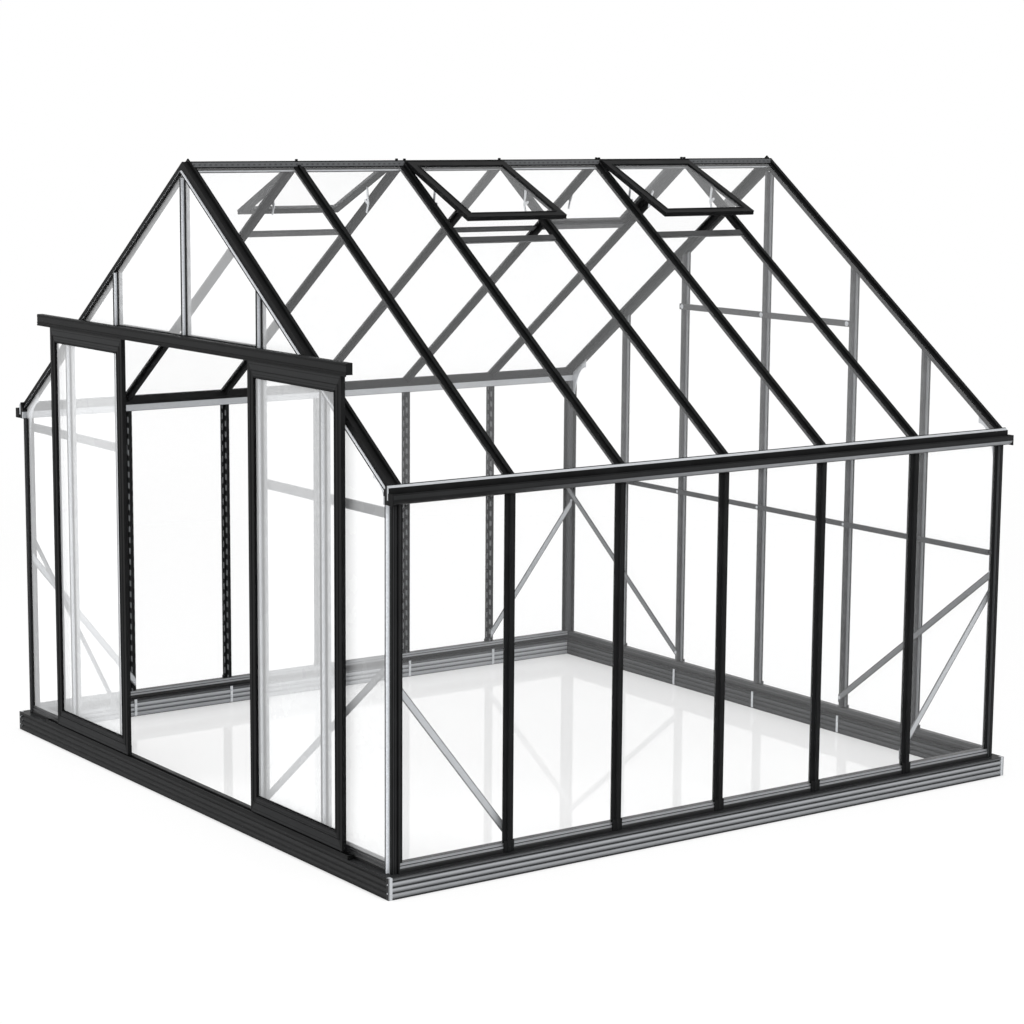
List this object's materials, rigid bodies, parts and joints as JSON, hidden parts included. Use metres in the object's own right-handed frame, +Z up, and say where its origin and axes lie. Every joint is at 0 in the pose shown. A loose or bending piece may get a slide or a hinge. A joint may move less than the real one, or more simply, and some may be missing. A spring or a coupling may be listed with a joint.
{
  "type": "polycarbonate greenhouse",
  "caption": "Gable-roofed walk-in greenhouse with clear panes in a dark aluminium frame, sliding double doors on the front gable and hinged roof vents.",
  "frame": {"origin": "on the ground, at the middle of the house's plan", "axes": "+Z up, +Y along the ridge from the front gable with the doors to the back gable, +X to the right seen from the front"},
  "size_m": [3.784, 3.82, 3.1771],
  "materials": {
    "frame": "satin dark powder coat",
    "base_rail": "satin dark powder coat",
    "bright_metal": "plain mill finish",
    "pane": "clear and smooth"
  },
  "bodies": {
    "house": {"base_front": "base_rail", "base_back": "base_rail", "base_left": "base_rail", "base_right": "base_rail", "base_corners": "bright_metal", "base_clips": "bright_metal", "sill_front": "frame", "sill_back": "frame", "sill_left": "frame", "sill_right": "frame", "corner_posts": "frame", "left_wall_bars": "frame", "right_wall_bars": "frame", "front_gable_posts": "frame", "back_gable_posts": "frame", "front_cross_rails": "frame", "door_head": "frame", "back_mid_rail": "frame", "back_high_rail": "frame", "side_braces": "bright_metal", "gable_braces": "bright_metal", "corner_gussets": "bright_metal", "left_eave_beam": "frame", "right_eave_beam": "frame", "gutter_ends": "frame", "ridge_beam": "frame", "front_rafters": "frame", "back_rafters": "frame", "left_roof_bars": "frame", "right_roof_bars": "frame", "vent_sills": "frame", "left_wall_panes": "pane", "right_wall_panes": "pane", "front_gable_panes": "pane", "back_gable_panes": "pane", "left_roof_panes": "pane", "right_roof_panes": "pane", "right_vent_frames": "frame", "left_vent_frames": "frame", "vent_panes": "pane", "vent_stays": "bright_metal", "front_trim_strips": "bright_metal", "back_trim_strips": "bright_metal", "door_track": "frame", "door_guide": "frame"},
    "left_door": {"door_left_frame": "frame", "door_left_pane": "pane", "door_left_hangers": "bright_metal"},
    "right_door": {"door_right_frame": "frame", "door_right_pane": "pane", "door_right_hangers": "bright_metal"}
  },
  "joints": [
    {"name": "left_door_slide", "type": "slide", "parent": "house", "child": "left_door", "axis": [1, 0, 0], "range_m": [-0.092, 0.584]},
    {"name": "right_door_slide", "type": "slide", "parent": "house", "child": "right_door", "axis": [-1, 0, 0], "range_m": [0, 0.676]}
  ]
}
